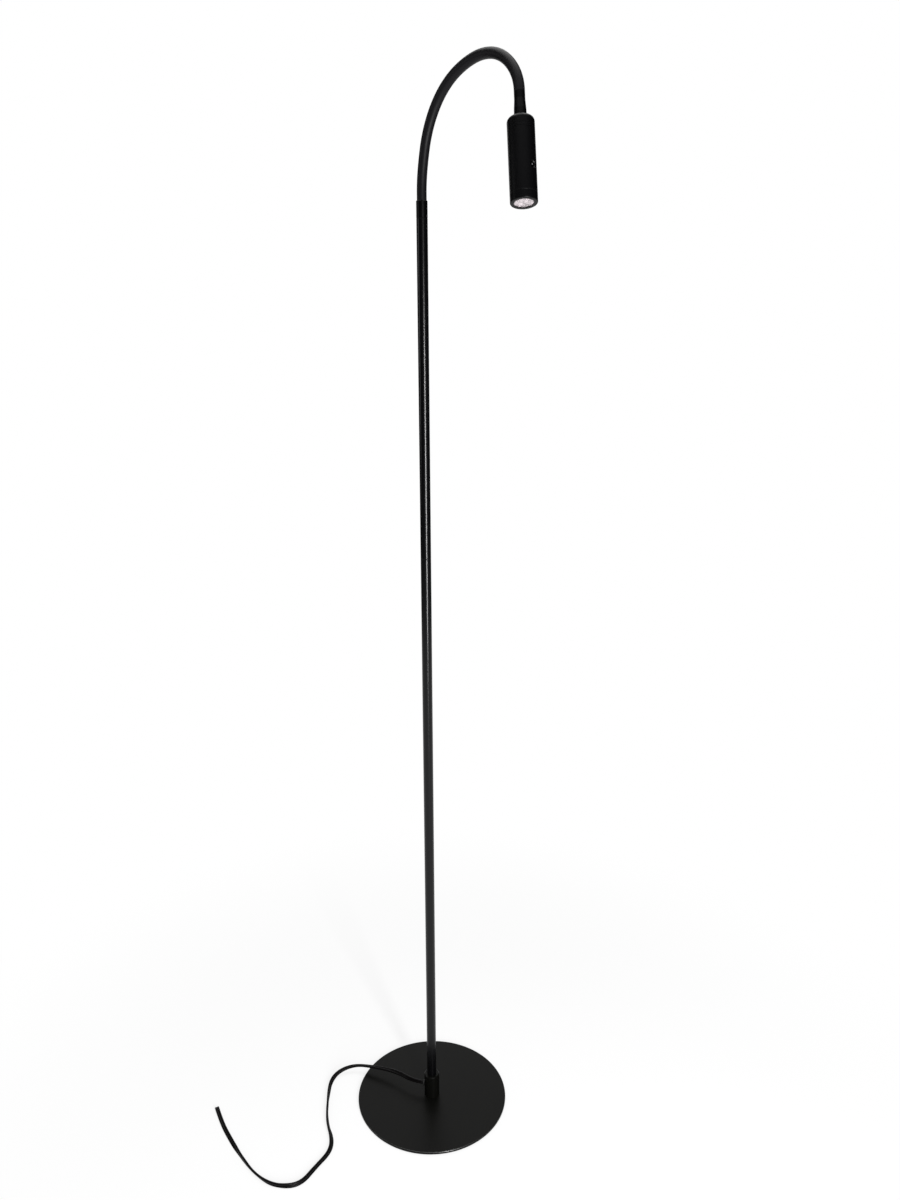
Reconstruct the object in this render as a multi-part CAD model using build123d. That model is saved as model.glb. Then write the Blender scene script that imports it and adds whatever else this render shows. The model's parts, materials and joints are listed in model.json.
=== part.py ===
from build123d import *
import math
import os

# A slim reading floor lamp: a round flat foot, a pole in two screwed sections, a flexible
# gooseneck and a cylindrical spot head with a push button on its side.
# All sizes are millimetres. +Z is up, the origin is the centre of the foot's underside,
# and the neck arches over towards +X.

# Fits between pieces, each the gap on a radius or between two faces
thread_gap = 0.05
push_fit_gap = 0.05
ball_gap = 0.3
button_gap = 0.25

# Foot
base_diameter = 230.0
base_plate_thickness = 4.0
base_edge_chamfer = 0.6
pad_diameter = 222.0
pad_thickness = 1.0

# Countersunk screw that holds the collar on the foot
base_screw_diameter = 8.0
base_screw_head_diameter = 15.0
base_screw_reach = 10.0
base_screw_socket_width = 5.0
base_screw_socket_depth = 3.0
screw_clearance = 0.3

# Collar that carries the pole
collar_diameter = 23.0
collar_height = 37.0
collar_edge_chamfer = 1.0
collar_chamber_diameter = 9.0
collar_floor = 1.0

# Threaded hollow nipples that join collar, pole sections and neck
nipple_diameter = 10.0
nipple_bore = 7.0
nipple_grip = 10.0
nipple_end_gap = 1.0

# Pole
pole_diameter = 14.0
pole_wall = 1.0
lower_pole_length = 822.0
upper_pole_length = 425.0
pole_end_chamfer = 0.4
insert_length = 15.0

# Ferrule at the top of the pole and the neck's root in it
ferrule_length = 20.0
ferrule_edge_chamfer = 0.3
neck_root_exposed = 8.0
neck_root_grip = 10.0

# Gooseneck: rigid links on ball seats, each bent as the neck is bent at rest
neck_diameter = 12.0
neck_bore = 6.0
link_length = 24.6
link_bends = (7.5, 4.5, 11.0, 12.0, 15.0, 16.0, 13.5, 20.0, 23.5, 20.5, 23.5)
side_lean = 12.2
side_lean_growth = 1.6
ball_diameter = 11.8    # a little under the neck's, so that each ball has a shoulder
ball_height = 4.3
cup_rim = 2.4
cup_depth = 5.6

# Head: tapered ferrule, domed cap, tube and front ring
head_ferrule_length = 31.2
head_ferrule_diameter = 13.9
head_ferrule_shoulder = 10.0
head_ferrule_shoulder_diameter = 13.4
head_ferrule_taper = 20.5
head_ferrule_spigot = 8.0
head_diameter = 30.0
head_length = 92.0
head_cap_length = 10.5
head_cap_round = 4.5
head_cap_crown = 2.5
head_cap_bore_diameter = 22.0
head_tube_bore = 26.4
head_skirt_wall = 1.2
head_skirt_length = 6.0
head_line_pitch = 3.7
head_line_depth = 0.3
head_line_width = 0.4
head_nut_width = 14.0
head_nut_thickness = 3.0
head_nut_side_gap = 0.65
front_ring_length = 9.1
front_ring_round = 1.2
front_ring_lip = 1.0

# Optics and light source
lens_face_diameter = 21.6
lens_flange_diameter = 23.0
lens_flange_thickness = 2.0
lens_depth = 11.2
lens_back_diameter = 8.0
lens_edge_chamfer = 0.3
lens_hollow_diameter = 6.0
lens_hollow_depth = 3.0
lens_holder_wall = 1.5
lens_ledge = 0.4
led_board_diameter = 20.0
led_board_thickness = 1.6
led_chip_size = 3.5
led_chip_thickness = 0.8
optic_gap = 0.1
led_screw_diameter = 2.0
led_screw_head_diameter = 3.6
led_screw_head_height = 1.2
led_screw_head_chamfer = 0.4
led_screw_slot_width = 0.5
led_screw_slot_depth = 0.5
led_screw_reach = 4.0
led_screw_circle = 14.5
heat_sink_length = 14.0
heat_sink_bore = 5.0
heat_sink_grooves = 2
heat_sink_groove_depth = 1.5
heat_sink_groove_width = 1.8

# Driver board along the head, with its parts
driver_board_end_gap = 4.4
driver_board_thickness = 1.6
driver_board_start = 20.0
driver_board_offset = 4.5
coil_diameter = 8.0
coil_height = 5.0
coil_cheek = 0.8
coil_waist_depth = 1.0
coil_place = 12.0
capacitor_diameter = 6.3
capacitor_height = 6.0
capacitor_chamfer = 0.5
capacitor_place = 24.0
wire_diameter = 1.4
wire_spacing = 3.4
head_lead_bend_start = 9.0
head_lead_bend_end = 15.0
head_lead_bend_radius = 4.0
head_lead_overlap = 4.0
led_lead_spacing = 2.04
led_lead_overhang = 2.0

# Push button in the side of the head
button_from_front = 37.1
button_turn = 10.0
button_diameter = 5.8
button_flange_diameter = 7.6
button_flange_thickness = 0.7
button_height = 2.2
button_chamfer = 0.4
button_travel = 1.2
button_dish_radius = 8.0
button_dish_depth = 0.35
button_pip_diameter = 1.6
button_pip_drop = 0.15
button_stem_diameter = 3.4
button_stem_length = 1.8
button_hole_chamfer = 0.6
switch_width = 6.5
switch_height = 4.1
switch_edge_chamfer = 0.6
switch_well_depth = 2.2

# Cord gland in the collar, the lead inside the pole and the free cord
gland_turn = 207.0
gland_height = 17.0
gland_neck_diameter = 6.6
gland_flange_diameter = 8.6
gland_stand_out = 2.4
gland_chamfer = 0.8
lead_diameter = 3.2
lead_bend_radius = 3.6
cord_diameter = 5.0
core_diameter = 1.0
core_spacing = 3.2
core_length = 4.0

# The cord's route: straight out of the gland, then down over the foot's edge and along the floor
cord_lead_out = 18.0
cord_points = (
    (-58, -15, 21),
    (-94, -25, 17),
    (-135, -42, 11),
    (-149, -75, 3.2),
    (-117, -114, 2.5),
    (-85, -145, 2.5),
    (-56, -161, 2.5),
    (-42, -180, 2.5),
    (-39, -208, 2.5),
    (-33, -246, 2.5),
    (-59, -270, 2.5),
    (-96, -274, 2.5),
    (-137, -267, 2.5),
    (-171, -258, 2.5),
    (-207, -247, 2.5),
    (-238, -233, 2.5),
)

# Levels up the stand
base_top = pad_thickness + base_plate_thickness
collar_top = base_top + collar_height
pole_joint = collar_top + lower_pole_length
pole_top = pole_joint + upper_pole_length
ferrule_top = pole_top + ferrule_length
neck_start = ferrule_top + neck_root_exposed
neck_root_bottom = ferrule_top - neck_root_grip
chamber_bottom = base_top + base_screw_reach + collar_floor
gland_level = base_top + gland_height

# Levels down the head, counted along its axis from the top of the cap
tube_end = head_length - front_ring_length
lens_seat = head_length - front_ring_lip - lens_flange_thickness
led_level = lens_seat + lens_flange_thickness - lens_depth - led_chip_thickness
heat_sink_end = led_level - led_board_thickness
heat_sink_start = heat_sink_end - heat_sink_length
driver_board_length = heat_sink_start - driver_board_end_gap - driver_board_start
button_place = head_length - button_from_front


def tube(outer, bore, low, high):
    # Round tube along Z from low to high, outer and bore being diameters
    ring = Circle(outer / 2) - Circle(bore / 2) if bore else Circle(outer / 2)
    return Pos(0, 0, low) * extrude(ring, high - low)


def turned(*outline):
    # Solid of revolution about Z of a closed outline given as (radius, height) points
    points = [(radius, 0, height) for radius, height in outline]
    return revolve(make_face(Polyline(*points, close=True)), Axis.Z)


def edges_at(solid, height, radius=None):
    # The round edges of a solid at one height, or only those of one radius
    found = [e for e in solid.edges().filter_by(GeomType.CIRCLE) if abs(e.arc_center.Z - height) < 1e-4]
    return [e for e in found if radius is None or abs(e.radius - radius) < 1e-4]


# ---- Foot and collar

def base_plate():
    plate = tube(base_diameter, base_screw_diameter + 2 * screw_clearance, pad_thickness, base_top)
    rim = base_diameter / 2
    plate = chamfer(edges_at(plate, base_top, rim) + edges_at(plate, pad_thickness, rim), base_edge_chamfer)
    return plate - screw_head_space()


def screw_cone(clearance):
    # The 90 degree cone of the screw's head, widest at the plate's underside
    head = base_screw_head_diameter / 2 + clearance
    shank = base_screw_diameter / 2 + clearance
    return turned((0, pad_thickness), (head, pad_thickness), (shank, pad_thickness + head - shank),
                  (0, pad_thickness + head - shank))


def screw_head_space():
    return screw_cone(screw_clearance)


def base_pad():
    return tube(pad_diameter, 0, 0, pad_thickness)


def base_screw():
    shank = tube(base_screw_diameter, 0, pad_thickness, base_top + base_screw_reach - thread_gap)
    socket = extrude(RegularPolygon(base_screw_socket_width / 2, 6, major_radius=False),
                     base_screw_socket_depth)
    screw = screw_cone(0) + shank
    return screw - Pos(0, 0, pad_thickness) * socket


def base_collar():
    collar = tube(collar_diameter, 0, base_top, collar_top)
    collar = chamfer(edges_at(collar, collar_top), collar_edge_chamfer)
    collar -= tube(base_screw_diameter + 2 * thread_gap, 0, base_top, base_top + base_screw_reach)
    collar -= tube(nipple_diameter + 2 * thread_gap, 0, collar_top - nipple_grip - nipple_end_gap, collar_top)
    collar -= tube(collar_chamber_diameter, 0, chamber_bottom, collar_top)
    return collar - gland_frame() * tube(gland_neck_diameter + 2 * push_fit_gap, 0, 0, collar_diameter)


# ---- Gland, lead and cord

def gland_frame():
    # Z runs out of the collar through the gland, from the collar's centre line
    return Plane(origin=(0, 0, gland_level), x_dir=(0, 0, 1), z_dir=gland_direction()).location


def gland_direction():
    turn = math.radians(gland_turn)
    return Vector(math.cos(turn), math.sin(turn), 0)


gland_mouth = collar_diameter / 2 + gland_stand_out


def upright(diameter):
    # An upright cylinder round the collar's centre line, past the gland's flange both ways
    reach = gland_flange_diameter
    return tube(diameter, 0, gland_level - reach, gland_level + reach)


def cable_gland():
    start = collar_chamber_diameter / 2
    flange = tube(gland_flange_diameter, 0, start, gland_mouth)
    flange = chamfer(edges_at(flange, gland_mouth), gland_chamfer)
    flange = gland_frame() * flange - upright(collar_diameter + 2 * push_fit_gap)
    neck = gland_frame() * tube(gland_neck_diameter, 0, start, gland_mouth - gland_chamfer)
    bore = gland_frame() * tube(lead_diameter + 2 * push_fit_gap, 0, 0, gland_mouth)
    return flange + neck - upright(collar_chamber_diameter) - bore


def pole_lead():
    # Twin lead from the gland round into the nipple and up the pole to the neck's root
    start = gland_direction() * gland_mouth + Vector(0, 0, gland_level)
    path = FilletPolyline(start, (0, 0, gland_level), (0, 0, neck_start), radius=lead_bend_radius)
    return sweep(Plane(origin=start, z_dir=-gland_direction()) * Circle(lead_diameter / 2), path)


def cord_route():
    start = gland_direction() * gland_mouth + Vector(0, 0, gland_level)
    return [start, start + gland_direction() * cord_lead_out] + [Vector(*point) for point in cord_points]


def cord_radii(points):
    # Each corner's arc takes 0.45 of its shorter run
    radii = []
    for before, corner, after in zip(points, points[1:], points[2:]):
        turn = math.radians((corner - before).get_angle(after - corner))
        shorter = min((corner - before).length, (after - corner).length)
        radii.append(0.45 * shorter / math.tan(turn / 2))
    return radii


def power_cord():
    points = cord_route()
    radii = cord_radii(points)
    path = FilletPolyline(*points, radius=radii)
    section = Plane(origin=points[0], z_dir=points[1] - points[0]) * Circle(cord_diameter / 2)
    cord = sweep(section, path)
    print("cord length", round(path.length, 1), "volume / (section x length)",
          round(cord.volume / (math.pi * cord_diameter ** 2 / 4 * path.length), 4))
    print("cord radii", [round(radius) for radius in radii])
    return cord - cord_end_frame() * Compound(core_pair(core_diameter + 2 * push_fit_gap))


def cord_end_frame():
    # Z runs back into the cord from its cut end
    end, before = cord_route()[-1], cord_route()[-2]
    return Plane(origin=end, x_dir=(0, 0, 1), z_dir=before - end).location


def core_pair(diameter):
    return [Pos(0, side * core_spacing / 2, 0) * tube(diameter, 0, 0, core_length) for side in (-1, 1)]


def cord_cores():
    return cord_end_frame() * Compound(core_pair(core_diameter))


# ---- Pole

def nipple(middle):
    half = nipple_grip
    return tube(nipple_diameter, nipple_bore, middle - half, middle + half)


def pole_section(low, high):
    section = tube(pole_diameter, pole_diameter - 2 * pole_wall, low, high)
    rims = edges_at(section, low, pole_diameter / 2) + edges_at(section, high, pole_diameter / 2)
    return chamfer(rims, pole_end_chamfer)


def pole_insert(low):
    outer = pole_diameter - 2 * pole_wall - 2 * push_fit_gap
    return tube(outer, nipple_diameter + 2 * thread_gap, low, low + insert_length)


def neck_ferrule():
    ferrule = tube(pole_diameter, 0, pole_top, ferrule_top)
    ferrule = chamfer(edges_at(ferrule, pole_top) + edges_at(ferrule, ferrule_top), ferrule_edge_chamfer)
    ferrule -= tube(nipple_diameter + 2 * thread_gap, 0, pole_top, ferrule_top)
    return ferrule - tube(neck_diameter + 2 * push_fit_gap, 0, neck_root_bottom, ferrule_top)


# ---- Gooseneck

def neck_direction(joint):
    # The neck's direction at a joint: it arches over towards +X and leans slowly aside
    arch = math.radians(sum(link_bends[:joint]))
    lean = math.radians(side_lean * (joint / len(link_bends)) ** side_lean_growth)
    return Vector(math.sin(arch) * math.cos(lean), -math.sin(lean), math.cos(arch) * math.cos(lean))


def link_bend(link):
    # Whole bend of a link in degrees, counting its side lean; links count from 1
    return neck_direction(link - 1).get_angle(neck_direction(link))


def neck_joint(joint):
    # Centre of a ball joint; each link is an arc, so its chord is a little short of its length
    place = Vector(0, 0, neck_start)
    for link in range(1, joint + 1):
        half_bend = math.radians(link_bend(link)) / 2
        chord = link_length * math.sin(half_bend) / half_bend
        place += (neck_direction(link - 1) + neck_direction(link)).normalized() * chord
    return place


def link_frame(link):
    # Z along the neck at the link's lower joint, X towards the inside of its bend
    start, end = neck_direction(link - 1), neck_direction(link)
    inward = end - start * start.dot(end)
    return Plane(origin=neck_joint(link - 1), x_dir=inward, z_dir=start).location


def ball_zone(radius, low, high):
    # Slice of a ball about the origin, between two heights
    from_angle, to_angle = (math.degrees(math.asin(height / radius)) for height in (low, high))
    return Sphere(radius, arc_size1=from_angle, arc_size2=to_angle, align=Align.NONE)


def ball_end():
    return ball_zone(ball_diameter / 2, 0, ball_height)


def cup_space():
    # What a link's lower end leaves free round the ball below it
    seat = ball_zone(ball_diameter / 2 + ball_gap, 0, cup_depth)
    return seat + tube(neck_diameter * 1.5, 0, -neck_diameter, cup_rim)


def neck_link(link):
    # An arc of the neck with a ball on its upper end, a cup in its lower end and a straight bore
    bend = link_bend(link)
    radius = link_length / math.radians(bend)
    upper_end = Pos(radius, 0, 0) * Rot(0, bend, 0) * Pos(-radius, 0, 0)
    body = revolve(Circle(neck_diameter / 2), Axis((radius, 0, 0), (0, 1, 0)), bend)
    body += upper_end * ball_end()
    body -= cup_space()
    chord = Plane(origin=(0, 0, 0), z_dir=upper_end.position).location
    return link_frame(link) * (body - chord * tube(neck_bore, 0, 0, link_length + neck_diameter))


def neck_root():
    root = tube(neck_diameter, 0, neck_root_bottom, neck_start)
    root += Pos(0, 0, neck_start) * ball_end()
    return root - tube(neck_bore, 0, neck_root_bottom, neck_start + neck_diameter)


# ---- Head, in its own frame: Z down the head from the top of its cap, X out through the button

def head_frame():
    down = neck_direction(len(link_bends))
    outward = (Vector(1, 0, 0) - down * down.X).normalized()
    turn = math.radians(button_turn)
    facing = outward * math.cos(turn) + down.cross(outward) * math.sin(turn)
    top = neck_joint(len(link_bends)) + down * head_ferrule_length
    return Plane(origin=top, x_dir=facing, z_dir=down).location


def head_ferrule():
    # It widens in two tapers, steep and then slight, down to the cap
    small, large = neck_diameter / 2, head_ferrule_diameter / 2
    shoulder = head_ferrule_shoulder_diameter / 2
    thread = nipple_diameter / 2
    body = turned((0, -head_ferrule_length), (small, -head_ferrule_length), (small, -head_ferrule_taper),
                  (shoulder, -head_ferrule_shoulder), (large, 0), (thread, 0), (thread, head_ferrule_spigot),
                  (0, head_ferrule_spigot))
    body -= tube(neck_bore, 0, -head_ferrule_length, head_ferrule_spigot)
    return body - Pos(0, 0, -head_ferrule_length) * cup_space()


def head_nut():
    nut = extrude(RegularPolygon(head_nut_width / 2, 6, major_radius=False), head_nut_thickness)
    nut -= tube(nipple_diameter + 2 * thread_gap, 0, 0, head_nut_thickness)
    return Pos(0, 0, head_cap_crown) * nut


def head_cap():
    cap = tube(head_diameter, 0, 0, head_cap_length)
    cap = fillet(edges_at(cap, 0), head_cap_round)
    skirt_end = head_cap_length + head_skirt_length
    cap += tube(head_tube_bore - 2 * thread_gap, 0, head_cap_length, skirt_end)
    cap -= tube(head_cap_bore_diameter, 0, head_cap_crown + head_cap_round / 2, head_cap_length)
    nut_space = head_nut_width * 2 / math.sqrt(3) + 2 * head_nut_side_gap
    cap -= tube(nut_space, 0, head_cap_crown, head_cap_length)
    cap -= tube(head_tube_bore - 2 * head_skirt_wall, 0, head_cap_length, skirt_end)
    return cap - tube(nipple_diameter + 2 * thread_gap, 0, 0, head_cap_crown)


def head_tube():
    body = tube(head_diameter, head_tube_bore, head_cap_length, tube_end)
    rims = edges_at(body, head_cap_length, head_diameter / 2) + edges_at(body, tube_end, head_diameter / 2)
    body = chamfer(rims, head_line_depth)
    line = head_cap_length + head_line_pitch
    body -= tube(head_diameter + 1, head_diameter - 2 * head_line_depth, line, line + head_line_width)
    return body - button_hole()


def front_ring():
    ring = tube(head_diameter, 0, tube_end, head_length)
    ring = fillet(edges_at(ring, head_length), front_ring_round)
    ring = chamfer(edges_at(ring, tube_end), head_line_depth)
    skirt = tube_end - head_skirt_length / 2
    ring += tube(head_tube_bore - 2 * thread_gap, 0, skirt, tube_end)
    ring -= tube(lens_holder_outer() + 2 * push_fit_gap, 0, skirt, lens_seat)
    ring -= tube(lens_flange_diameter + 2 * push_fit_gap, 0, lens_seat, lens_seat + lens_flange_thickness)
    return ring - tube(lens_face_diameter + 2 * push_fit_gap, 0, lens_seat, head_length)


# ---- Optics and light source

def lens_holder_outer():
    return head_tube_bore - 2 * head_skirt_wall


def lens_holder():
    outer = lens_holder_outer() - 2 * push_fit_gap
    holder = tube(outer, outer - 2 * lens_holder_wall, led_level, lens_seat)
    ledge = lens_seat - lens_holder_wall
    return holder + tube(outer, outer - 2 * (lens_holder_wall + lens_ledge), ledge, lens_seat)


def lens():
    back = lens_seat + lens_flange_thickness - lens_depth
    back_radius, flange, face = lens_back_diameter / 2, lens_flange_diameter / 2, lens_face_diameter / 2
    cone = lens_holder_outer() / 2 - lens_holder_wall - 2 * lens_ledge
    flange_end = lens_seat + lens_flange_thickness
    # A cone behind the flange, a flat face and a hollow over the light source
    edge = lens_edge_chamfer
    optic = turned((0, back), (back_radius, back), (cone, lens_seat), (flange, lens_seat),
                   (flange, flange_end), (face, flange_end), (face, head_length - edge),
                   (face - edge, head_length), (0, head_length))
    return optic - tube(lens_hollow_diameter, 0, back, back + lens_hollow_depth)


def led_board():
    board = tube(led_board_diameter, 0, heat_sink_end, led_level)
    holes = led_screw_places() * tube(led_screw_diameter + 2 * push_fit_gap, 0, heat_sink_end, led_level)
    for hole in holes + led_wire_paths(wire_diameter + 2 * push_fit_gap):
        board -= hole
    return board


def led_chip():
    chip = extrude(Rectangle(led_chip_size, led_chip_size), led_chip_thickness - optic_gap)
    return Pos(0, 0, led_level) * chip


def led_screw_places():
    return PolarLocations(led_screw_circle / 2, 2, start_angle=0)


def led_screws():
    head = tube(led_screw_head_diameter, 0, led_level, led_level + led_screw_head_height)
    head = chamfer(edges_at(head, led_level + led_screw_head_height), led_screw_head_chamfer)
    slot = Pos(0, 0, led_level + led_screw_head_height) * Box(
        led_screw_head_diameter * 2, led_screw_slot_width, 2 * led_screw_slot_depth)
    screw = head - slot + tube(led_screw_diameter, 0, led_level - led_screw_reach, led_level)
    return Compound(led_screw_places() * screw)


def heat_sink():
    sink = tube(head_tube_bore - 2 * push_fit_gap, heat_sink_bore, heat_sink_start, heat_sink_end)
    for place in led_screw_places():
        depth = led_screw_reach - led_board_thickness
        hole = tube(led_screw_diameter + 2 * thread_gap, 0, heat_sink_end - depth, heat_sink_end)
        sink -= place * hole
    floor = head_tube_bore - 2 * heat_sink_groove_depth
    pitch = heat_sink_length / (heat_sink_grooves + 1)
    for groove in range(heat_sink_grooves):
        low = heat_sink_start + pitch * (groove + 1) - heat_sink_groove_width / 2
        sink -= tube(head_tube_bore + 1, floor, low, low + heat_sink_groove_width)
    return sink


# ---- Driver board, switch and wires

def driver_board():
    # Its long edges bear on the bore of the head's tube
    bore = head_tube_bore / 2
    half_width = math.sqrt(bore ** 2 - switch_seat() ** 2) - push_fit_gap
    board = Box(driver_board_thickness, 2 * half_width, driver_board_length,
                align=(Align.MIN, Align.CENTER, Align.MIN))
    return Pos(driver_board_offset, 0, driver_board_start) * board


def coil_drum():
    # Drum coil: a waisted winding between two flanges, standing on the board's inner face
    flange, waist = coil_diameter / 2, coil_diameter / 2 - coil_waist_depth
    low, high = coil_cheek, coil_height - coil_cheek
    drum = turned((0, 0), (flange, 0), (flange, low), (waist, low), (waist, high), (flange, high),
                  (flange, coil_height), (0, coil_height))
    return board_face(coil_place) * drum


def board_face(place):
    # Z stands inwards from the board's inner face
    return Plane(origin=(driver_board_offset, 0, driver_board_start + place), x_dir=(0, 1, 0),
                 z_dir=(-1, 0, 0)).location


def driver_capacitor():
    can = tube(capacitor_diameter, 0, 0, capacitor_height)
    return board_face(capacitor_place) * chamfer(edges_at(can, capacitor_height), capacitor_chamfer)


def switch_seat():
    return driver_board_offset + driver_board_thickness


def switch_body():
    block = Box(switch_height, switch_width, switch_width, align=(Align.MIN, Align.CENTER, Align.CENTER))
    block = chamfer(block.edges().filter_by(Axis.X), switch_edge_chamfer)
    block -= Pos(switch_height - switch_well_depth, 0, 0) * Rot(0, 90, 0) * tube(
        button_stem_diameter + 2 * button_gap, 0, 0, switch_well_depth)
    return Pos(switch_seat(), 0, button_place) * block


def button_frame():
    # Z runs out through the button from the head's centre line
    return Plane(origin=(0, 0, button_place), x_dir=(0, 1, 0), z_dir=(1, 0, 0)).location


def button_flange_level():
    # The flange clears the tube's round bore by the button's gap
    half = button_flange_diameter / 2
    bore = head_tube_bore / 2
    return math.sqrt(bore ** 2 - half ** 2) - button_gap - button_flange_thickness


def button_hole():
    radius = button_diameter / 2 + button_gap
    wall = head_diameter / 2
    hole = tube(2 * radius, 0, 0, wall + 1)
    mouth = math.sqrt(wall ** 2 - radius ** 2) - button_hole_chamfer
    spread = 2 * button_hole_chamfer
    flare = turned((0, mouth), (radius, mouth), (radius + spread, mouth + spread), (0, mouth + spread))
    return button_frame() * (hole + flare)


def switch_button():
    flange = button_flange_level()
    top = flange + button_flange_thickness + button_height
    cap = tube(button_diameter, 0, flange, top)
    cap = chamfer(edges_at(cap, top), button_chamfer)
    cap -= Pos(0, 0, top + button_dish_radius - button_dish_depth) * Sphere(button_dish_radius)
    cap += tube(button_pip_diameter, 0, flange, top - button_pip_drop)
    cap += tube(button_flange_diameter, 0, flange, flange + button_flange_thickness)
    cap += tube(button_stem_diameter, 0, flange - button_stem_length, flange)
    return button_frame() * cap


def head_leads():
    # The pair of wires from the neck's bore to the driver board's upper edge
    wires = []
    for side in (-1, 1):
        y = side * wire_spacing / 2
        x = driver_board_offset - wire_diameter / 2
        end = driver_board_start + head_lead_overlap
        path = FilletPolyline((0, y / 2, 0), (0, y / 2, head_lead_bend_start), (x, y, head_lead_bend_end),
                              (x, y, end), radius=head_lead_bend_radius)
        wires.append(sweep(Plane(origin=(0, y / 2, 0), z_dir=(0, 0, 1)) * Circle(wire_diameter / 2), path))
    return Compound(wires)


def led_wire_paths(diameter):
    # The pair of straight wires through the heat sink to the light source's board
    start, end = heat_sink_start - led_lead_overhang, led_level - optic_gap
    return [Pos(0, side * led_lead_spacing / 2, 0) * tube(diameter, 0, start, end) for side in (-1, 1)]


def led_leads():
    return Compound(led_wire_paths(wire_diameter))


def build():
    stand = {
        "base_plate": base_plate(),
        "base_pad": base_pad(),
        "base_screw": base_screw(),
        "base_collar": base_collar(),
        "cable_gland": cable_gland(),
        "collar_nipple": nipple(collar_top),
        "lower_pole": pole_section(collar_top, pole_joint),
        "lower_pole_foot_insert": pole_insert(collar_top),
        "lower_pole_head_insert": pole_insert(pole_joint - insert_length),
        "pole_nipple": nipple(pole_joint),
        "upper_pole_foot_insert": pole_insert(pole_joint),
        "upper_pole": pole_section(pole_joint, pole_top),
        "upper_pole_head_insert": pole_insert(pole_top - insert_length),
        "neck_nipple": nipple(pole_top),
        "neck_ferrule": neck_ferrule(),
        "neck_root": neck_root(),
        "pole_lead": pole_lead(),
        "power_cord": power_cord(),
        "cord_cores": cord_cores(),
    }
    neck = {f"neck_link_{link:02d}": neck_link(link) for link in range(1, len(link_bends) + 1)}
    head = {
        "head_ferrule": head_ferrule(),
        "head_nut": head_nut(),
        "head_cap": head_cap(),
        "head_tube": head_tube(),
        "front_ring": front_ring(),
        "lens": lens(),
        "lens_holder": lens_holder(),
        "led_board": led_board(),
        "led_chip": led_chip(),
        "led_screws": led_screws(),
        "led_leads": led_leads(),
        "heat_sink": heat_sink(),
        "driver_board": driver_board(),
        "driver_coil": coil_drum(),
        "driver_capacitor": driver_capacitor(),
        "head_leads": head_leads(),
        "switch_body": switch_body(),
        "switch_button": switch_button(),
    }
    placed = {name: head_frame() * piece for name, piece in head.items()}
    return {**stand, **neck, **placed}


os.makedirs("parts", exist_ok=True)
for name, piece in build().items():
    export_step(piece, f"parts/{name}.step")
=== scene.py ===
import bpy
import bmesh
import json
from math import asin, cos, hypot, pi, radians, sin, sqrt, tau
from mathutils import Matrix, Vector


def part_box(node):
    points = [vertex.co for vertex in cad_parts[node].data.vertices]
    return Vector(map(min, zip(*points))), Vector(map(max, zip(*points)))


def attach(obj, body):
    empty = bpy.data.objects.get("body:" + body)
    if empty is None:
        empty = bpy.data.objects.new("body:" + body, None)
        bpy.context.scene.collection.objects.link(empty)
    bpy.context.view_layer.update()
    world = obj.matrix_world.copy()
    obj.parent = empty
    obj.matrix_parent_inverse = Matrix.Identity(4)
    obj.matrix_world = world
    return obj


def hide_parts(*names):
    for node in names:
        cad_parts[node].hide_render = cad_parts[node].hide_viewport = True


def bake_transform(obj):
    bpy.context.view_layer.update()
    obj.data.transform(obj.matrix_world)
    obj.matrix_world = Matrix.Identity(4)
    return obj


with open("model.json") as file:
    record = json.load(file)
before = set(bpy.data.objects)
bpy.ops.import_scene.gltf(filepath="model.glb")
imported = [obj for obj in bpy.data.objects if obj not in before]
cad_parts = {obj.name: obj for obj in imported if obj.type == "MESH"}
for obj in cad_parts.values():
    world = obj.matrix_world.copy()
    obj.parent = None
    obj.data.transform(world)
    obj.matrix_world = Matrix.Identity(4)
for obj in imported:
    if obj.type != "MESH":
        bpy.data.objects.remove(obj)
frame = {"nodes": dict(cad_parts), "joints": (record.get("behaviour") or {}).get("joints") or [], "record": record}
nodes, record = frame["nodes"], frame["record"]
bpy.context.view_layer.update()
print("frame loaded:", len(nodes), "nodes")

mm = 0.001
up = Vector((0, 0, 1))
sameWithin = 1e-6           # metres between places that count as the same
mergeWithin = 1e-7          # metres between vertices that become one
sharpTurn = 0.1             # radians between two faces from which their edge counts as sharp


def addObject(name, data):
    made = bpy.data.objects.new(name, data)
    bpy.context.scene.collection.objects.link(made)
    return made


def meshFrom(bm, name):
    mesh = bpy.data.meshes.new(name)
    bm.to_mesh(mesh)
    bm.free()
    return mesh


# camera

cameraSetup = {
    "place": (0.8203, -0.9299, 1.1421),
    "looksAlong": (-0.6197, 0.7401, -0.2610),
    "roll": -0.27,          # degrees
    "lens": 28.5,           # mm
    "sensor": 36.0,         # mm, along the frame's long side
    "nearest": 0.05,
    "farthest": 40.0,
}


def addCamera(setup):
    data = bpy.data.cameras.new("photoCamera")
    data.lens, data.sensor_width = setup["lens"], setup["sensor"]
    data.clip_start, data.clip_end = setup["nearest"], setup["farthest"]
    camera = addObject("photoCamera", data)
    turn = Vector(setup["looksAlong"]).to_track_quat("-Z", "Y").to_matrix().to_4x4()
    roll = Matrix.Rotation(radians(setup["roll"]), 4, "Z")
    camera.matrix_world = Matrix.Translation(setup["place"]) @ turn @ roll
    bpy.context.scene.camera = camera


addCamera(cameraSetup)
print("camera placed")


# helpers for materials

def feed(tree, value, socket):
    # value is another node's socket or a plain value
    if isinstance(value, bpy.types.NodeSocket):
        tree.links.new(value, socket)
    else:
        socket.default_value = value


def mathNode(tree, operation, *values):
    made = tree.nodes.new("ShaderNodeMath")
    made.operation = operation
    for value, socket in zip(values, made.inputs):
        feed(tree, value, socket)
    return made.outputs["Value"]


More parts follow.
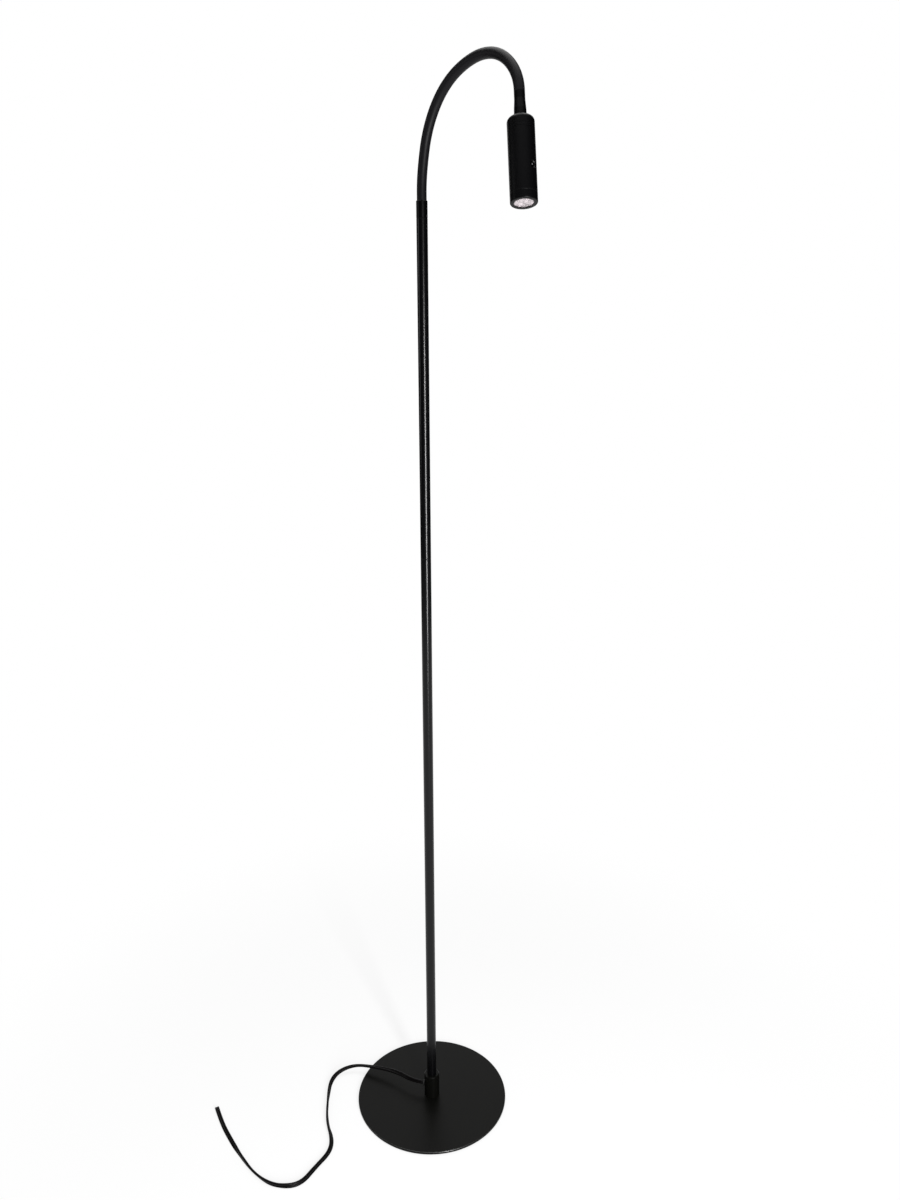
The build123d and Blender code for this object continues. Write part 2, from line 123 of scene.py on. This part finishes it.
def scaledColour(tree, colour, share):
    made = tree.nodes.new("ShaderNodeVectorMath")
    made.operation = "SCALE"
    feed(tree, colour, made.inputs[0])
    feed(tree, share, made.inputs["Scale"])
    return made.outputs["Vector"]


def newMaterial(name, values):
    # a material with these values on its shader's own sockets
    material = bpy.data.materials.new(name)
    material.use_nodes = True
    shader = material.node_tree.nodes["Principled BSDF"]
    for socket, value in values.items():
        shader.inputs[socket].default_value = value
    return material, material.node_tree, shader


# studio: floor, lamps, black cloth and sky

studio = {
    "floorSize": 9.0,
    "floorPaper": {"Base Color": (0.95, 0.95, 0.95, 1), "Roughness": 0.9, "Specular IOR Level": 0.1},
    "fadeFrom": 0.25,       # the floor turns into the plain backdrop between these distances
    "fadeTo": 0.9,
    "fadeNear": 0.78,       # share of plain backdrop under the foot
    "backdropStrength": 1.0,
    "skyStrength": 0.3,     # as a light
    "target": (0.0, 0.0, 0.7),
    # name: place, width, height, watts
    "lamps": {
        "stripKey": ((1.41, -0.75, 0.73), 0.18, 0.9, 38.0),
        "topSoft": ((-0.3, 0.2, 3.0), 1.8, 1.8, 28.0),
        "leftFill": ((-1.6, -1.5, 1.4), 0.8, 1.4, 6.0),
    },
}

studioCloth = {
    "radius": 2.5,
    "from": -0.2,           # its lower and upper edge
    "to": 4.0,
    "gap": 60.0,            # degrees left open behind the lamp
    "gapTowards": 131.4,
    "steps": 60,
    "weave": {"Base Color": (0.01, 0.01, 0.01, 1), "Roughness": 0.9, "Specular IOR Level": 0.1},
}


def seenRays(tree):
    # 1 for rays that see the backdrop: from the camera, off a glossy surface or through glass
    rays = tree.nodes.new("ShaderNodeLightPath").outputs
    seen = mathNode(tree, "MAXIMUM", rays["Is Camera Ray"], rays["Is Glossy Ray"])
    return mathNode(tree, "MAXIMUM", seen, rays["Is Transmission Ray"])


def addFloor(setup):
    bm = bmesh.new()
    bmesh.ops.create_grid(bm, x_segments=1, y_segments=1, size=setup["floorSize"] / 2)
    floor = addObject("floor", meshFrom(bm, "floor"))
    paper, tree, shader = newMaterial("floorPaper", setup["floorPaper"])
    coords = tree.nodes.new("ShaderNodeTexCoord")
    away = tree.nodes.new("ShaderNodeVectorMath")
    away.operation = "LENGTH"
    fade = tree.nodes.new("ShaderNodeMapRange")
    fade.interpolation_type = "SMOOTHSTEP"
    plain = tree.nodes.new("ShaderNodeEmission")
    mix = tree.nodes.new("ShaderNodeMixShader")
    feed(tree, coords.outputs["Object"], away.inputs[0])
    feed(tree, away.outputs["Value"], fade.inputs["Value"])
    feed(tree, setup["fadeFrom"], fade.inputs["From Min"])
    feed(tree, setup["fadeTo"], fade.inputs["From Max"])
    feed(tree, setup["fadeNear"], fade.inputs["To Min"])
    feed(tree, setup["backdropStrength"], plain.inputs["Strength"])
    feed(tree, mathNode(tree, "MULTIPLY", fade.outputs["Result"], seenRays(tree)), mix.inputs["Fac"])
    feed(tree, shader.outputs["BSDF"], mix.inputs[1])
    feed(tree, plain.outputs["Emission"], mix.inputs[2])
    feed(tree, mix.outputs["Shader"], tree.nodes["Material Output"].inputs["Surface"])
    floor.data.materials.append(paper)


def addLamps(setup):
    for name, (place, width, height, watts) in setup["lamps"].items():
        data = bpy.data.lights.new(name, "AREA")
        data.shape, data.size, data.size_y, data.energy = "RECTANGLE", width, height, watts
        lamp = addObject(name, data)
        aim = (Vector(setup["target"]) - Vector(place)).to_track_quat("-Z", "Y")
        lamp.matrix_world = Matrix.Translation(place) @ aim.to_matrix().to_4x4()
        lamp.visible_camera = False


def addCloth(setup):
    # only reflections see it, as black cloth in a photo studio keeps glossy black paint black
    bm = bmesh.new()
    start = radians(setup["gapTowards"] + setup["gap"] / 2)
    foot = Vector((cos(start), sin(start), 0)) * setup["radius"]
    pair = [bm.verts.new(foot + up * setup[height]) for height in ("from", "to")]
    bmesh.ops.spin(bm, geom=[*pair, bm.edges.new(pair)], cent=(0, 0, 0), axis=(0, 0, 1),
                   angle=tau - radians(setup["gap"]), steps=setup["steps"])
    cloth = addObject("blackCloth", meshFrom(bm, "blackCloth"))
    cloth.data.materials.append(newMaterial("blackClothWeave", setup["weave"])[0])
    cloth.visible_camera = cloth.visible_diffuse = False
    cloth.visible_transmission = cloth.visible_shadow = False


def addSky(setup):
    world = bpy.data.worlds.new("paleSky")
    world.use_nodes = True
    tree = world.node_tree
    background = tree.nodes["Background"]
    level = tree.nodes.new("ShaderNodeMapRange")     # white where it is seen, dimmer as a light
    feed(tree, (1, 1, 1, 1), background.inputs["Color"])
    feed(tree, setup["skyStrength"], level.inputs["To Min"])
    feed(tree, setup["backdropStrength"], level.inputs["To Max"])
    feed(tree, seenRays(tree), level.inputs["Value"])
    feed(tree, level.outputs["Result"], background.inputs["Strength"])
    bpy.context.scene.world = world


addFloor(studio)
addLamps(studio)
addCloth(studioCloth)
addSky(studio)
bpy.context.scene.view_settings.view_transform = "Standard"
print("studio set")


# shader node group: the fine grain that all plain finishes share

surfaceGrain = {
    "fineDetail": 2.0,
    "broadScale": 14.0,
    "broadDetail": 3.0,
    "drift": 0.15,          # how far the colour drifts
    "roughnessSpread": 0.06,
    "reliefDepth": 0.0002,  # metres
}


def newGroup(name, inputs, outputs):
    tree = bpy.data.node_groups.new(name, "ShaderNodeTree")
    for way, sockets in (("INPUT", inputs), ("OUTPUT", outputs)):
        for socket, kind in sockets.items():
            tree.interface.new_socket(socket, in_out=way, socket_type=kind)
    return tree, tree.nodes.new("NodeGroupInput"), tree.nodes.new("NodeGroupOutput")


def makeGrainGroup(grain):
    # puts out a colour that drifts, a roughness that varies and a height for the bump
    tree, entry, leave = newGroup(
        "surfaceGrain",
        {"Color": "NodeSocketColor", "Grain Scale": "NodeSocketFloat", "Drift": "NodeSocketFloat",
         "Roughness": "NodeSocketFloat", "Roughness Spread": "NodeSocketFloat"},
        {"Color": "NodeSocketColor", "Roughness": "NodeSocketFloat", "Height": "NodeSocketFloat"})
    given = entry.outputs
    coords = tree.nodes.new("ShaderNodeTexCoord")
    fine = tree.nodes.new("ShaderNodeTexNoise")
    broad = tree.nodes.new("ShaderNodeTexNoise")
    for noise, scale, detail in ((fine, given["Grain Scale"], grain["fineDetail"]),
                                 (broad, grain["broadScale"], grain["broadDetail"])):
        feed(tree, coords.outputs["Object"], noise.inputs["Vector"])
        feed(tree, scale, noise.inputs["Scale"])
        feed(tree, detail, noise.inputs["Detail"])
    centred = mathNode(tree, "SUBTRACT", broad.outputs["Fac"], 0.5)
    swing = mathNode(tree, "MULTIPLY_ADD", centred, given["Drift"], 1.0)
    rough = mathNode(tree, "MULTIPLY_ADD", centred, given["Roughness Spread"], given["Roughness"])
    feed(tree, scaledColour(tree, given["Color"], swing), leave.inputs["Color"])
    feed(tree, rough, leave.inputs["Roughness"])
    feed(tree, fine.outputs["Fac"], leave.inputs["Height"])
    return tree


grainGroup = makeGrainGroup(surfaceGrain)


# materials

def finish(name, colour, roughness, grain=900, bump=0.0, metallic=0.0, specular=0.5,
           coat=0.0, coatRoughness=0.1):
    # a material of its own, with the shared grain under it
    material, tree, shader = newMaterial(name, {
        "Metallic": metallic, "Specular IOR Level": specular,
        "Coat Weight": coat, "Coat Roughness": coatRoughness})
    grained = tree.nodes.new("ShaderNodeGroup")
    grained.node_tree = grainGroup
    for socket, value in (("Color", (*colour, 1)), ("Grain Scale", grain), ("Drift", surfaceGrain["drift"]),
                          ("Roughness", roughness), ("Roughness Spread", surfaceGrain["roughnessSpread"])):
        feed(tree, value, grained.inputs[socket])
    feed(tree, grained.outputs["Color"], shader.inputs["Base Color"])
    feed(tree, grained.outputs["Roughness"], shader.inputs["Roughness"])
    if bump:
        relief = tree.nodes.new("ShaderNodeBump")
        feed(tree, bump, relief.inputs["Strength"])
        feed(tree, surfaceGrain["reliefDepth"], relief.inputs["Distance"])
        feed(tree, grained.outputs["Height"], relief.inputs["Height"])
        feed(tree, relief.outputs["Normal"], shader.inputs["Normal"])
    return material


# the lens's colour is painted light: a pale pink tone stands in for the reflections in the clear lens, and each
# pebble's random share of it for its glints
lensPaintedLight = {
    "paintedReflectionTone": (0.4, 0.355, 0.37),
    "pebbleScale": 560,
    "darkest": 0.4,         # share of the painted reflection's tone on the dimmest pebble
    "brightest": 1.35,
    "shine": {"Roughness": 0.16, "Coat Weight": 0.6, "Coat Roughness": 0.03},
}


def makeLensPaintedLight(name, setup):
    # clear moulded pebbles, coloured with a painted reflection: a pale tone, brighter or dimmer on each pebble as
    # painted glints
    material, tree, shader = newMaterial(name, setup["shine"])
    coords = tree.nodes.new("ShaderNodeTexCoord")
    pebbles = tree.nodes.new("ShaderNodeTexVoronoi")
    split = tree.nodes.new("ShaderNodeSeparateColor")
    share = tree.nodes.new("ShaderNodeMapRange")
    feed(tree, coords.outputs["Object"], pebbles.inputs["Vector"])
    feed(tree, setup["pebbleScale"], pebbles.inputs["Scale"])
    feed(tree, pebbles.outputs["Color"], split.inputs["Color"])
    feed(tree, split.outputs["Red"], share.inputs["Value"])
    feed(tree, setup["darkest"], share.inputs["To Min"])
    feed(tree, setup["brightest"], share.inputs["To Max"])
    # painted reflection and glints: the tone scaled by each pebble's random share
    paintedReflectionTone = scaledColour(tree, setup["paintedReflectionTone"], share.outputs["Result"])
    feed(tree, paintedReflectionTone, shader.inputs["Base Color"])
    return material


# by material slot
finishes = {
    "black_powder_coat": finish("blackPowderCoat", (0.0025, 0.0025, 0.0021), 0.32, grain=1100, bump=0.2,
                                specular=0.1),
    "black_pole_paint": finish("blackPolePaint", (0.0015, 0.0015, 0.0018), 0.24, grain=1400, bump=0.02,
                               specular=0.25),
    "black_ferrule": finish("blackFerrule", (0.0008, 0.0008, 0.001), 0.32, grain=1800, bump=0.1,
                            specular=0.12),
    "neck_sleeve": finish("neckSleeve", (0.0055, 0.0052, 0.0062), 0.45, grain=1300, bump=0.2,
                          specular=0.11),
    "head_black": finish("headBlack", (0.0012, 0.0012, 0.0015), 0.36, grain=2000, bump=0.06,
                         specular=0.12),
    "bezel_black": finish("bezelBlack", (0.0015, 0.0015, 0.0018), 0.35, grain=2000, bump=0.05,
                          specular=0.1),
    "cord_black": finish("cordBlack", (0.0022, 0.0018, 0.002), 0.35, grain=700, bump=0.1, specular=0.09),
    "gland_black": finish("glandBlack", (0.01, 0.01, 0.01), 0.5, specular=0.25),
    "button_black": finish("buttonBlack", (0.0004, 0.0004, 0.0005), 0.4, grain=1800, bump=0.05,
                           specular=0.02),
    "pad_dark": finish("padFoam", (0.03, 0.03, 0.03), 0.85, grain=600, bump=0.4),
    # the lens's colour is a painted reflection with painted glints
    "lens_clear": makeLensPaintedLight("lensPaintedReflection", lensPaintedLight),
    "zinc_steel": finish("zincSteel", (0.6, 0.6, 0.58), 0.35, metallic=1.0),
    "bare_aluminium": finish("turnedAluminium", (0.7, 0.71, 0.72), 0.3, metallic=1.0),
    "can_silver": finish("canSilver", (0.68, 0.69, 0.7), 0.35, metallic=1.0),
    "copper": finish("bareCopper", (0.8, 0.42, 0.25), 0.3, metallic=1.0),
    "board_white": finish("boardWhite", (0.82, 0.82, 0.79), 0.4),
    "board_green": finish("boardGreen", (0.03, 0.2, 0.08), 0.4),
    "led_phosphor": finish("ledPhosphor", (0.9, 0.72, 0.15), 0.5),
    "coil_black": finish("coilBlack", (0.05, 0.045, 0.045), 0.7),
    "wire_sheath": finish("wireSheath", (0.7, 0.69, 0.67), 0.45),
}
plateRim = finish("blackPlateRim", (0.002, 0.002, 0.0018), 0.3, grain=1100, specular=0.6)
# the pip's light grey is a painted highlight of the button's bright dot, under a real glossy coat
pipPaintedHighlight = finish("pipPaintedHighlight", (0.09, 0.09, 0.094), 0.25, grain=1500, coat=0.6, coatRoughness=0.05)
print("materials made:", len(finishes) + 2)


def dressNodes():
    slotOfNode = {part["node"]: part["material_slot"] for part in record["subparts"]}
    for name, node in nodes.items():
        wanted = finishes[slotOfNode[name]]
        if not node.material_slots:
            node.data.materials.append(wanted)
        for place in node.material_slots:
            place.material = wanted


dressNodes()
print("nodes dressed")


def newPiece(name, bm, material, body=None, sharpAbove=180):
    # edges that turn by more than sharpAbove degrees stay crisp
    mesh = meshFrom(bm, name)
    mesh.shade_smooth()
    mesh.set_sharp_from_angle(angle=radians(sharpAbove))
    mesh.materials.append(material)
    piece = addObject(name, mesh)
    if body:
        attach(piece, body)
    return piece


# power cord: a flat twin lead, bare at its far end; all sizes in mm

powerCord = {
    "exit": (-12.385, -6.310, 22.0),      # mouth of the gland
    "leadOut": (-28.423, -14.482, 22.0),
    "route": ((-58, -15, 21), (-94, -25, 17), (-135, -42, 11), (-149, -75, 3.2), (-117, -114, 2.5),
              (-85, -145, 2.5), (-56, -161, 2.5), (-42, -180, 2.5), (-39, -208, 2.5), (-33, -246, 2.5),
              (-59, -270, 2.5), (-96, -274, 2.5), (-137, -267, 2.5), (-171, -258, 2.5),
              (-207, -247, 2.5), (-238, -233, 2.5)),
    "lobe": 1.7,            # radius of each of its two round halves
    "spread": 1.6,          # from the middle to each half's centre
    "web": 0.9,             # half thickness of the web between them
    "lobePoints": 10,
    # degrees of twist at places spread evenly along the cord
    "twist": (90, 60, 0, -20, 10, 60, 100, 70, 20, 0, 30, 90, 120, 90, 30, 0, 0),
}


def nurbsLine(points, resolution=12):
    # points along the smooth line that a NURBS spline draws through its control points
    curve = bpy.data.curves.new("line", "CURVE")
    curve.dimensions = "3D"
    spline = curve.splines.new("NURBS")
    spline.points.add(len(points) - 1)
    for place, point in zip(spline.points, points):
        place.co = (*point, 1)
    spline.order_u, spline.use_endpoint_u, spline.resolution_u = 3, True, resolution
    holder = addObject("line", curve)
    bpy.context.view_layer.update()
    mesh = bpy.data.meshes.new_from_object(holder)
    line = [vertex.co.copy() for vertex in mesh.vertices]
    bpy.data.objects.remove(holder)
    bpy.data.curves.remove(curve)
    bpy.data.meshes.remove(mesh)
    return line


def twinSection(cord):
    # outline of the flat twin lead: two round halves and a thin web
    lobe, spread, web, count = cord["lobe"], cord["spread"], cord["web"], cord["lobePoints"]
    notch = asin(web / lobe)
    sweep = [-pi + notch + (tau - 2 * notch) * step / count for step in range(count + 1)]
    right = [(spread + lobe * cos(angle), lobe * sin(angle)) for angle in sweep]
    return right + [(-x, -y) for x, y in right]


def easedValue(values, share):
    # the value at this share of the way, eased from each one to the next
    place = share * (len(values) - 1)
    low = min(int(place), len(values) - 2)
    part = place - low
    part = part * part * (3 - 2 * part)
    return values[low] * (1 - part) + values[low + 1] * part


def makeCord(cord):
    points = [Vector(point) * mm for point in (cord["exit"], cord["leadOut"], *cord["route"])]
    line = nurbsLine(points)
    section = twinSection(cord)
    travelled = [0.0]
    for before, after in zip(line, line[1:]):
        travelled.append(travelled[-1] + (after - before).length)
    bm = bmesh.new()
    rings, path = [], []
    for index, place in enumerate(line):
        along = (line[min(index + 1, len(line) - 1)] - line[max(index - 1, 0)]).normalized()
        side = along.cross(up).normalized()
        over = side.cross(along)
        twist = radians(easedValue(cord["twist"], travelled[index] / travelled[-1]))
        halfHeight = cord["lobe"] + cord["spread"] * abs(sin(twist))
        place = place + up * max(0.0, halfHeight * mm - place.z)      # on edge, it needs more height
        path.append(place)
        across = side * cos(twist) + over * sin(twist)
        through = over * cos(twist) - side * sin(twist)
        rings.append([bm.verts.new(place + (across * x + through * y) * mm) for x, y in section])
    for ring, following in zip(rings, rings[1:]):
        for k in range(len(ring)):
            n = (k + 1) % len(ring)
            bm.faces.new((ring[k], ring[n], following[n], following[k]))
    bm.faces.new(reversed(rings[0]))
    bm.faces.new(rings[-1])
    bmesh.ops.recalc_face_normals(bm, faces=bm.faces)
    piece = newPiece("flatCord", bm, finishes["cord_black"], "stand")
    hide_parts("power_cord")
    print("cord made:", round(travelled[-1], 3), "m")


makeCord(powerCord)


# gooseneck: one smooth sleeve, in lengths that each run across one joint along the neck's curve; all sizes in mm

neckSleeve = {
    "radius": 6.0,
    "around": 40,
    "halfSteps": 8,         # rings along half a link
    "sunk": 2.0,            # how far it goes down into the ferrule
    "rim": 2.3,             # how far it reaches past the last joint, to the head's ferrule
    "rimSteps": 2,
}

hinges = [joint for joint in frame["joints"] if joint["type"] == "hinge"]
neckPlaces = [Vector(joint["pos_m"]) for joint in hinges]
neckWays = [up]             # the neck's direction at each joint, from one arc to the next
for low, high in zip(neckPlaces, neckPlaces[1:]):
    chord = (high - low).normalized()
    neckWays.append((2 * chord.dot(neckWays[-1]) * chord - neckWays[-1]).normalized())


def neckArc(joint):
    # centre, axis and angle of the arc from this joint to the next
    low, high = neckPlaces[joint], neckPlaces[joint + 1]
    start, end = neckWays[joint], neckWays[joint + 1]
    axis, bend = start.cross(end).normalized(), start.angle(end)
    centre = low + axis.cross(start) * ((high - low).length / (2 * sin(bend / 2)))
    return centre, axis, bend


def midArc(joint):
    # place and direction halfway along the arc from this joint to the next
    centre, axis, bend = neckArc(joint)
    turn = Matrix.Rotation(bend / 2, 3, axis)
    return centre + turn @ (neckPlaces[joint] - centre), turn @ neckWays[joint]


def only(kind, geometry):
    return [item for item in geometry if isinstance(item, kind)]


def pushRing(bm, ring, move, steps):
    # extrudes an open ring straight on, in equal steps
    for _ in range(steps):
        ring = bmesh.ops.extrude_edge_only(bm, edges=only(bmesh.types.BMEdge, ring))["geom"]
        bmesh.ops.translate(bm, vec=move / steps, verts=only(bmesh.types.BMVert, ring))
    return ring


def bendRing(bm, ring, arc, steps):
    # extrudes an open ring round half of an arc
    centre, axis, bend = arc
    ring = only((bmesh.types.BMVert, bmesh.types.BMEdge), ring)
    return bmesh.ops.spin(bm, geom=ring, cent=centre, axis=axis, angle=bend / 2, steps=steps)["geom_last"]


def makeSleeve(joint, sleeve):
    steps, last = sleeve["halfSteps"], len(neckPlaces) - 1
    pivot, way = neckPlaces[joint], neckWays[joint]
    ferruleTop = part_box("neck_ferrule")[1].z
    start, startWay = midArc(joint - 1) if joint else (Vector((0, 0, ferruleTop - sleeve["sunk"] * mm)), up)
    turn = startWay.to_track_quat("Z", "Y").to_matrix().to_4x4()
    bm = bmesh.new()
    bmesh.ops.create_circle(bm, segments=sleeve["around"], radius=sleeve["radius"] * mm,
                            matrix=Matrix.Translation(start) @ turn)
    ring = [*bm.verts, *bm.edges]
    if joint == 0:
        ring = pushRing(bm, ring, pivot - start, steps)
    else:
        ring = bendRing(bm, ring, neckArc(joint - 1), steps)
    if joint == last:
        end = pivot + way * sleeve["rim"] * mm
        pushRing(bm, ring, end - pivot, sleeve["rimSteps"])
    else:
        end = midArc(joint)[0]
        bendRing(bm, ring, neckArc(joint), steps)
    bmesh.ops.holes_fill(bm, edges=[edge for edge in bm.edges if edge.is_boundary], sides=0)
    bmesh.ops.recalc_face_normals(bm, faces=bm.faces)
    piece = newPiece(f"neckSleeve{joint + 1:02d}", bm, finishes["neck_sleeve"], sharpAbove=40)
    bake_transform(piece)
    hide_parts("neck_root" if joint == 0 else f"neck_link_{joint:02d}")


for joint in range(len(neckPlaces)):
    makeSleeve(joint, neckSleeve)
print("neck sleeve made in", len(neckPlaces), "lengths")


# turned pieces: foot plate and pole sections; all sizes in mm

def spun(outline, steps, closed=True):
    # a full spin about Z of an outline given as (radius, height)
    bm = bmesh.new()
    verts = [bm.verts.new((radius * mm, 0, height * mm)) for radius, height in outline]
    edges = [bm.edges.new(pair) for pair in zip(verts, verts[1:])]
    if closed:
        edges.append(bm.edges.new((verts[-1], verts[0])))
    bmesh.ops.spin(bm, geom=verts + edges, cent=(0, 0, 0), axis=(0, 0, 1), angle=tau, steps=steps,
                   use_merge=True)
    bmesh.ops.remove_doubles(bm, verts=bm.verts, dist=mergeWithin)
    bmesh.ops.recalc_face_normals(bm, faces=bm.faces)
    return bm


def roundRims(bm, radius, offset, segments):
    # rolls over the sharp level edges that lie at one radius, and returns the rolled faces
    rims = [edge for edge in bm.edges
            if abs(edge.verts[0].co.z - edge.verts[1].co.z) < sameWithin
            and edge.calc_face_angle(0) > sharpTurn
            and all(abs(vertex.co.xy.length - radius * mm) < sameWithin for vertex in edge.verts)]
    return bmesh.ops.bevel(bm, geom=rims, offset=offset * mm, offset_type="OFFSET", segments=segments,
                           profile=0.5, affect="EDGES", material=-1)["faces"]


def nodeRound(node):
    # radius, bottom and top of a round node that stands on the lamp's axis
    low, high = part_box(node)
    return high.x / mm, low.z / mm, high.z / mm


footPlate = {
    "around": 192,
    "screwHole": 4.3,       # radii
    "countersink": 7.8,
    "rim": 1.2,             # rolled edge
    "rimSegments": 5,
    "holdLoop": 0.25,       # from the rolled edge to a ring that keeps the flat faces' shading flat
    "glossFrom": 0.3,       # rise of the rolled edge's faces that have a gloss
    "glossTo": 0.9,
}


def makeFootPlate(plate):
    radius, bottom, top = nodeRound("base_plate")
    hole, sink = plate["screwHole"], plate["countersink"]
    hold = plate["rim"] + plate["holdLoop"]
    bm = spun([(hole, top), (radius - hold, top), (radius, top), (radius, top - hold),
               (radius, bottom + hold), (radius, bottom), (radius - hold, bottom), (sink, bottom),
               (hole, bottom + sink - hole)], plate["around"])
    for face in roundRims(bm, radius, plate["rim"], plate["rimSegments"]):
        face.normal_update()
        face.material_index = int(plate["glossFrom"] < face.normal.z < plate["glossTo"])
    piece = newPiece("footPlate", bm, finishes["black_powder_coat"], "stand", sharpAbove=30)
    piece.data.materials.append(plateRim)
    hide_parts("base_plate")


makeFootPlate(footPlate)

poleTube = {
    "around": 72,
    "wall": 1.0,
    "edge": 0.5,            # soft edge at each end
    "edgeSegments": 3,
    "holdLoop": 0.2,
}


def makePoleTube(name, node, pole):
    radius, bottom, top = nodeRound(node)
    bore = radius - pole["wall"]
    hold = pole["edge"] + pole["holdLoop"]
    bm = spun([(bore, bottom), (radius, bottom), (radius, bottom + hold), (radius, top - hold),
               (radius, top), (bore, top)], pole["around"])
    roundRims(bm, radius, pole["edge"], pole["edgeSegments"])
    piece = newPiece(name, bm, finishes["black_pole_paint"], "stand", sharpAbove=30)
    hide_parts(node)


makePoleTube("lowerPole", "lower_pole", poleTube)
makePoleTube("upperPole", "upper_pole", poleTube)
print("foot plate and pole made")


# head: faceted lens and push button, in the head's own space; all sizes in mm

def headSpace():
    # from the last neck joint: Z along the head to its front, X out through the button
    button = next(joint for joint in frame["joints"] if joint["name"] == "push_button")
    along, out = neckWays[-1], -Vector(button["axis"])
    out = (out - along * out.dot(along)).normalized()
    return Matrix.LocRotScale(neckPlaces[-1], Matrix((out, along.cross(out), along)).transposed(), None)


headPlace = headSpace()


def spanInHead(node):
    # lowest and highest corner of a node, in the head's space
    inHead = headPlace.inverted()
    spots = [inHead @ vertex.co / mm for vertex in nodes[node].data.vertices]
    return [[pick(spot[axis] for spot in spots) for axis in range(3)] for pick in (min, max)]


headLens = {
    "around": 168,
    "faceRings": 42,
    "backOutline": ((0.0, -12.2), (4.0, -12.2), (9.7, -3.0), (11.5, -3.0)),    # (radius, height)
    "level": -1.05,         # the face lies under the ring's lip
    "face": 11.5,           # radius of the pebbled face
    "plainRim": 0.1,        # width left without pebbles at the face's edge
    "pitch": 2.1,           # between the pebbles
    "dome": 0.5,            # how far each pebble stands up from its edge
}


def pebbleDepth(x, y, pitch):
    # share of the way from a pebble's top to its edge, on a honeycomb of pebbles
    rise = pitch * sqrt(3)
    depths = []
    for shift in (0.0, 0.5):
        across, through = x / pitch - shift, y / rise - shift
        away = ((across - round(across)) * pitch, (through - round(through)) * rise)
        depths.append(hypot(*away) / (pitch / sqrt(3)))
    return min(depths)


def makeLens(lens):
    front = spanInHead("front_ring")[1][2]
    count = lens["faceRings"]
    rings = [(lens["face"] * (1 - ring / count), lens["level"]) for ring in range(count + 1)]
    bm = spun([*lens["backOutline"], *rings], lens["around"], closed=False)
    for vertex in bm.verts:
        onFace = vertex.co.z > lens["level"] * mm - sameWithin
        if onFace and vertex.co.xy.length / mm < lens["face"] - lens["plainRim"]:
            depth = pebbleDepth(vertex.co.x / mm, vertex.co.y / mm, lens["pitch"])
            vertex.co.z -= lens["dome"] * depth * depth * mm
    bmesh.ops.transform(bm, matrix=headPlace @ Matrix.Translation((0, 0, front * mm)), verts=bm.verts)
    piece = newPiece("headLens", bm, finishes["lens_clear"], "head", sharpAbove=50)
    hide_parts("lens")


makeLens(headLens)

pushButton = {
    "around": 64,
    "cap": 2.9,             # radii
    "flange": 3.8,
    "stem": 1.7,
    "dish": 2.3,
    "pip": 0.85,
    "capHeight": 2.2,
    "flangeThickness": 0.7,
    "stemLength": 1.8,
    "dishDepth": 0.35,
    "dishRings": 5,
    "edge": 0.4,
    "edgeSegments": 3,
    "pipRise": 0.3,
    "pipRings": 5,
}


def makeButton(button):
    low, high = spanInHead("switch_button")
    middle = Matrix.Translation((high[0] * mm, 0, (low[2] + high[2]) / 2 * mm))
    inHead = headPlace @ middle @ Matrix.Rotation(pi / 2, 4, "Y")
    shoulder = -button["capHeight"]
    foot = shoulder - button["flangeThickness"]
    end = foot - button["stemLength"]
    deep, count = button["dishDepth"], button["dishRings"]
    dish = [(button["dish"] * (1 - k / count), -deep * (1 - (1 - k / count) ** 2))
            for k in range(count + 1)]
    bm = spun([(0, end), (button["stem"], end), (button["stem"], foot), (button["flange"], foot),
               (button["flange"], shoulder), (button["cap"], shoulder), (button["cap"], 0.0), *dish],
              button["around"], closed=False)
    roundRims(bm, button["cap"], button["edge"], button["edgeSegments"])
    bmesh.ops.transform(bm, matrix=inHead, verts=bm.verts)
    cap = newPiece("buttonCap", bm, finishes["button_black"], "button", sharpAbove=50)
    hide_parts("switch_button")
    rise, count = button["pipRise"], button["pipRings"]
    dome = [(button["pip"] * cos(k / count * pi / 2), -deep + rise * sin(k / count * pi / 2))
            for k in range(count)]
    bm = spun([(0, -2 * deep), (button["pip"], -2 * deep), *dome, (0, rise - deep)],
              button["around"] // 2, closed=False)
    bmesh.ops.transform(bm, matrix=inHead, verts=bm.verts)
    # the pip wears the painted highlight colour
    pip = newPiece("buttonPip", bm, pipPaintedHighlight, "button", sharpAbove=50)


makeButton(pushButton)
print("lens and push button made")
